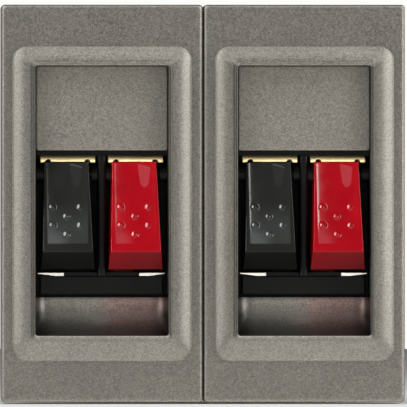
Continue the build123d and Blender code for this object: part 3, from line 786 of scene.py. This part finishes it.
def heights():
    """Row heights of a lever's shell, closer together at the nose and at the cheeks' top."""
    tall = LEVER_TOP - FOOT
    values = {LEVER_TOP - tall * row / LEVER_ROWS for row in range(LEVER_ROWS + 1)}
    values |= {NOSE + offset for offset in (-0.1, -0.05, 0.0, 0.05, 0.1)}
    values |= {CHEEK_TOP + 0.01, CHEEK_TOP - 0.01}
    return sorted(values, reverse=True)


def face_front(z):
    """Depth of the lever's front with its nose, top and foot rounded."""
    nose = max(0.0, 1 - abs(z - NOSE) / NOSE_REACH)
    top = max(0.0, 1 - (LEVER_TOP - z) / TOP_REACH)
    foot = max(0.0, 1 - (z - FOOT) / FOOT_REACH)
    ends = TOP_CUT * (1 - math.sqrt(1 - top ** 2)) + FOOT_CUT * (1 - math.sqrt(1 - foot ** 2))
    return face_depth(z) - NOSE_CUT * nose ** 2 - ends


def lever_line(z):
    """Points (x, depth) across a lever at a height, from its left edge to its right."""
    half = half_width(z)
    face = face_half(z)
    front = face_front(z)
    start = front - FACE_ROUND
    back = CHEEK_BACK if z < CHEEK_TOP else LEVER_TOP_DEPTH - CROWN
    left = []
    for step in range(SKIRT_STEPS):
        part = step / SKIRT_STEPS
        left.append((-half + (half - face) * part ** 1.5, back + (start - back) * part))
    for step in range(ROUND_STEPS + 1):
        angle = math.radians(90 * step / ROUND_STEPS)
        x = -face + FACE_ROUND * (1 - math.cos(angle))
        left.append((x, start + FACE_ROUND * math.sin(angle)))
    inner = face - FACE_ROUND
    line = list(left)
    for step in range(1, FACE_COLUMNS):
        x = -inner + 2 * inner * step / FACE_COLUMNS
        line.append((x, front - dish(x, z) + dome(x, z)))
    return line + [(-x, depth) for x, depth in reversed(left)]


def end_painted_shade(index, count, x, z):
    """How much painted shade the plastic takes, and how much less it shines: most on the end face,
    more to its right, and a little on the right side.
    """
    below = smooth_step((NOSE + 0.12 - z) / 0.2)
    sunk = 0.55 + 0.15 * (NOSE - z) / (NOSE - FOOT)
    half = half_width(z)
    side = SIDE_PAINTED_SHADE if index >= count - SKIRT_STEPS - ROUND_STEPS - 1 else 0.0
    return max(below * (sunk + 0.3 * (x + half) / (2 * half)), side)


def make_lever(pole, side):
    """Lever shell with a dished, dotted face, rounded corners and an open back."""
    node = f"lever_{pole}_{side}"
    slot = f"{pole}_lever"
    centre = middle_x(node)
    vertices = []
    painted_reflection = []
    end = []
    levels = heights()
    for z in levels:
        line = lever_line(z)
        lean = LEAN * max(0.0, (z - NOSE) / (LEVER_TOP - NOSE))
        vertices += [(centre + lean + x, depth, z) for x, depth in line]
        # painted reflections on the dish, kept for each vertex
        painted_reflection += [painted_dish_reflection(pole, x, z) for x, depth in line]
        # painted shade on the end face and the right side
        end += [end_painted_shade(index, len(line), x, z) for index, (x, depth) in enumerate(line)]
    faces = bridge(len(line), len(levels), closed=False)
    obj = new_object(f"{node}_shell", vertices, faces)
    store(obj, "painted_reflection", painted_reflection)
    store(obj, "end", end)
    lever_skins.append(obj)
    thick = obj.modifiers.new("thickness", "SOLIDIFY")
    thick.thickness = SHELL * MM
    thick.offset = -1.0
    finish_piece(obj, node, slot, node)
    outward = -1 if pole == "black" else 1
    inner_edge = centre - outward * (HALF_BOTTOM - SHELL)
    for bar, across, front, lowest, highest in BARS:
        xs = (inner_edge, centre + outward * across)
        zs = (FOOT + lowest, FOOT + highest)
        make_bar(f"{node}_{bar}", xs, (BAR_BACK, front), zs, node, slot)


BARS = (                # name, end past the middle, front, bottom and top from the foot
    ("foot", 0.25, FOOT_DEPTH - 0.35, 0.02, 0.6),
    ("lip", -0.2, 4.3, -1.3, 0.1),
)
BAR_BACK = 3.75         # back of both bars, which close the lever's inner half
BAR_ROUND = 0.08


def make_bar(name, xs, depths, zs, body, slot):
    """Bar with rounded edges between two X, two depths and two heights."""
    corners = [(x, depth, z) for z in zs for depth in depths for x in sorted(xs)]
    faces = [(0, 1, 3, 2), (4, 6, 7, 5), (0, 4, 5, 1), (2, 3, 7, 6), (0, 2, 6, 4), (1, 5, 7, 3)]
    obj = new_object(name, corners, faces)
    # the bars take the end face's painted shade
    store(obj, "end", [1.0] * len(corners))
    round_off = obj.modifiers.new("rounding", "BEVEL")
    round_off.width = BAR_ROUND * MM
    round_off.segments = 3
    finish_piece(obj, body, slot)


# ---------------------------------------------------------------- clamp springs

SHEET = 0.3
SHOULDER_HALF = 3.05
SHOULDER_LOW = 4.55
TONGUE_HALF = 1.6
NOTCH_X = 2.17
NOTCH_RADIUS = 0.35
LEG_REAR = 0.2          # depth where the leg starts, inside the block's back wall
BEND = (5.25, 4.52)     # depth and height of the middle of the shoulder's bend
BEND_RADIUS = 0.7
KNEE = (4.2, -4.9)
JAW_TIP = (5.05, -7.26)
JAW_TOP = -6.14
JAW_COLUMN = 13         # the jaw takes the tongue's columns beyond this one
SPRING_COLUMNS = 20     # columns of the tongue, and of the shoulder on each side of it
LEG_ROWS, BEND_ROWS, TONGUE_ROWS, JAW_ROWS = 6, 16, 26, 10


def bend_point(angle):
    """Depth and height on the bend, with the angle from its top towards the front."""
    return BEND[0] + BEND_RADIUS * math.sin(angle), BEND[1] + BEND_RADIUS * math.cos(angle)


def notch_height(x):
    """Lower edge of the shoulder, with a round notch for each cheek of the lever."""
    off = abs(abs(x) - NOTCH_X)
    return SHOULDER_LOW + math.sqrt(max(0.0, NOTCH_RADIUS ** 2 - off ** 2))


def shoulder_rows(xs):
    """Rows of (x, depth, z) for the leg and the bend, down to the notched edge."""
    rows = []
    start = (LEG_REAR, BEND[1] + BEND_RADIUS)
    for row in range(LEG_ROWS):
        rows.append([(x, *along(start, bend_point(0), row / LEG_ROWS)) for x in xs])
    for row in range(BEND_ROWS + 1):
        line = []
        for x in xs:
            lowest = math.acos((notch_height(x) - BEND[1]) / BEND_RADIUS)
            line.append((x, *bend_point(lowest * row / BEND_ROWS)))
        rows.append(line)
    return rows


def spring_faces(rows, shoulder, first, last):
    """Quads of the leaf; below the shoulder only the tongue, then only the jaw's columns."""
    faces = []
    width = len(rows[0])
    for row in range(len(rows) - 1):
        for column in range(width - 1):
            on_tongue = first <= column < last
            below = row + 1 > shoulder and rows[row + 1][0][2] < JAW_TOP
            if row >= shoulder - 1 and not on_tongue or below and column < first + JAW_COLUMN:
                continue
            a = row * width + column
            faces.append((a, a + 1, a + 1 + width, a + width))
    return faces


def make_spring(pole, side):
    """Brass leaf: leg, notched shoulder, tongue and jaw."""
    node = f"clamp_spring_{pole}_{side}"
    centre = middle_x(node)
    outward = -1 if pole == "black" else 1
    step = (SHOULDER_HALF - TONGUE_HALF) / SPRING_COLUMNS
    wing = [TONGUE_HALF + step * index for index in range(1, SPRING_COLUMNS + 1)]
    tongue = [
        -TONGUE_HALF + 2 * TONGUE_HALF * index / SPRING_COLUMNS for index in range(SPRING_COLUMNS + 1)
    ]
    xs = [-x for x in reversed(wing)] + tongue + wing
    rows = shoulder_rows(xs)
    shoulder = len(rows)
    bend_end = bend_point(math.pi / 2)
    lower = [along(bend_end, KNEE, index / TONGUE_ROWS) for index in range(TONGUE_ROWS + 1)]
    lower += [along(KNEE, JAW_TIP, index / JAW_ROWS) for index in range(1, JAW_ROWS + 1)]
    rows += [[(x, depth, z) for x in xs] for depth, z in lower]
    faces = spring_faces(rows, shoulder, len(wing), len(wing) + SPRING_COLUMNS)
    vertices = [(centre + outward * x, depth, z) for row in rows for x, depth, z in row]
    used = sorted({index for face in faces for index in face})
    place = {old: new for new, old in enumerate(used)}
    faces = [tuple(place[index] for index in face) for face in faces]
    obj = new_object(f"{node}_leaf", [vertices[index] for index in used], faces)
    thick = obj.modifiers.new("thickness", "SOLIDIFY")
    thick.thickness = SHEET * MM
    thick.offset = 0.0
    bpy.context.view_layer.update()
    solid = obj.evaluated_get(bpy.context.evaluated_depsgraph_get())
    mesh = bpy.data.meshes.new_from_object(solid)
    obj.modifiers.clear()
    obj.data = mesh
    dress(obj, "spring_brass")
    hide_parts(node)
    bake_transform(obj)
    spring_leaves.append(obj)


# ---------------------------------------------------------------- camera, light and stage


LAMP_DISTANCE = 0.34
LAMP_TARGET = Vector((0, -0.004, 0))


def area_light(name, energy, size, location):
    """Rectangular lamp that points at the front of the object."""
    data = bpy.data.lights.new(name, "AREA")
    data.shape = "RECTANGLE"
    data.size, data.size_y = size
    data.energy = energy
    obj = bpy.data.objects.new(name, data)
    obj.location = location
    direction = LAMP_TARGET - location
    obj.rotation_euler = direction.to_track_quat("-Z", "Y").to_euler()
    bpy.context.scene.collection.objects.link(obj)
    return obj


def polar(azimuth, elevation):
    """Place on a sphere around the object; azimuth 0 is in front and grows to the right."""
    a, e = math.radians(azimuth), math.radians(elevation)
    ahead = LAMP_DISTANCE * math.cos(e)
    return Vector((ahead * math.sin(a), -ahead * math.cos(a), LAMP_DISTANCE * math.sin(e)))


FLOOR_REACH = 0.6
FLOOR_GAP = 0.0002
WORLD_LIGHT = 0.12
BACKDROP = (1.0, 0.985, 0.955, 1.0)


def make_floor():
    """Pale floor just under the object, which lets the low lamp through."""
    z = cad_box[0].z - FLOOR_GAP
    corners = [(-1, -1), (1, -1), (1, 1), (-1, 1)]
    mesh = bpy.data.meshes.new("floor")
    mesh.from_pydata([(x * FLOOR_REACH, y * FLOOR_REACH, z) for x, y in corners], [], [(0, 1, 2, 3)])
    floor = bpy.data.objects.new("floor", mesh)
    bpy.context.scene.collection.objects.link(floor)
    m = Nodes("floor_pale")
    m.link(m.mix(m.noise(40.0, 2.0), (0.76, 0.76, 0.75), (0.82, 0.82, 0.81)), "Base Color")
    m.set(Roughness=0.7)
    mesh.materials.append(m.material)
    floor.visible_shadow = False


def make_world():
    """Faint light from all around, and a plain pale backdrop."""
    world = bpy.data.worlds.new("studio")
    world.use_nodes = True
    tree = world.node_tree
    back = tree.nodes["Background"]
    back.inputs["Color"].default_value = (1.0, 1.0, 1.0, 1.0)
    back.inputs["Strength"].default_value = WORLD_LIGHT
    plain = tree.nodes.new("ShaderNodeBackground")
    plain.inputs["Color"].default_value = BACKDROP
    plain.inputs["Strength"].default_value = 1.0
    path = tree.nodes.new("ShaderNodeLightPath")
    blend = tree.nodes.new("ShaderNodeMixShader")
    tree.links.new(path.outputs["Is Camera Ray"], blend.inputs["Fac"])
    tree.links.new(back.outputs["Background"], blend.inputs[1])
    tree.links.new(plain.outputs["Background"], blend.inputs[2])
    tree.links.new(blend.outputs["Shader"], tree.nodes["World Output"].inputs["Surface"])
    bpy.context.scene.world = world
    bpy.context.scene.view_settings.view_transform = "Standard"


def linked(name, objects, state="INCLUDE"):
    """Group of objects that a lamp is kept to, or kept from."""
    group = bpy.data.collections.new(name)
    for obj in objects:
        group.objects.link(obj)
    for item in group.collection_objects:
        item.light_linking.link_state = state
    return group


def make_lamps():
    """Soft boxes for the painted front, narrow ones for the glossy levers, a fill for bare metal."""
    no_levers = linked("no_levers", lever_skins, "EXCLUDE")
    levers = linked("levers_only", lever_skins)
    springs = linked("springs_only", spring_leaves)
    bars = [obj for name, obj in nodes.items() if name.startswith("contact_bar")]
    contacts = linked("contacts_only", bars)
    lamps = (            # name, watts, size, azimuth and elevation, pieces it lights
        ("left_box", 1.00, (0.26, 0.46), (-63, 20), no_levers),
        ("right_box", 1.36, (0.26, 0.46), (63, 16), no_levers),
        ("top_box", 0.34, (0.36, 0.20), (0, 62), no_levers),
        ("low_box", 0.46, (0.36, 0.12), (0, -80), no_levers),
        ("lever_left", 1.10, (0.05, 0.34), (-46, 30), levers),
        ("lever_right", 0.36, (0.05, 0.12), (34, 20), levers),
        ("corner_left", 0.16, (0.10, 0.10), (-55, 50), no_levers),
        ("corner_right", 0.08, (0.10, 0.10), (55, 46), no_levers),
        ("spring_fill", 0.39, (0.16, 0.08), (4, 27), springs),
        ("contact_fill", 0.27, (0.10, 0.10), (10, -12), contacts),
    )
    for name, energy, size, (azimuth, elevation), group in lamps:
        lamp = area_light(name, energy, size, polar(azimuth, elevation))
        lamp.light_linking.receiver_collection = group


CAMERA_AZIMUTH = math.radians(-1.6)
CAMERA_DISTANCE = 1.6
FRAME_WIDTH = 45.2 * MM


def make_camera():
    """Long lens, slightly from the left, framing the front of the object."""
    low, high = cad_box
    centre = Vector((0.0, low.y, (low.z + high.z) / 2))
    away = Vector((math.sin(CAMERA_AZIMUTH), -math.cos(CAMERA_AZIMUTH), 0))
    data = bpy.data.cameras.new("camera")
    data.sensor_width = 36
    data.lens = data.sensor_width * CAMERA_DISTANCE / FRAME_WIDTH
    data.clip_start = 0.01
    camera = bpy.data.objects.new("camera", data)
    camera.location = centre + away * CAMERA_DISTANCE
    camera.rotation_euler = (centre - camera.location).to_track_quat("-Z", "Y").to_euler()
    bpy.context.scene.collection.objects.link(camera)
    bpy.context.scene.camera = camera


make_camera()
make_floor()
make_world()
dress_cad_nodes()
lever_skins = []
spring_leaves = []
for side in SIDES:
    dress(nodes[f"hinge_pin_{side}"], "pin_steel")
    make_fascia(side)
    make_scoop(side)
    make_panel(side)
    for pole in POLES:
        make_lever(pole, side)
        make_spring(pole, side)
make_lamps()
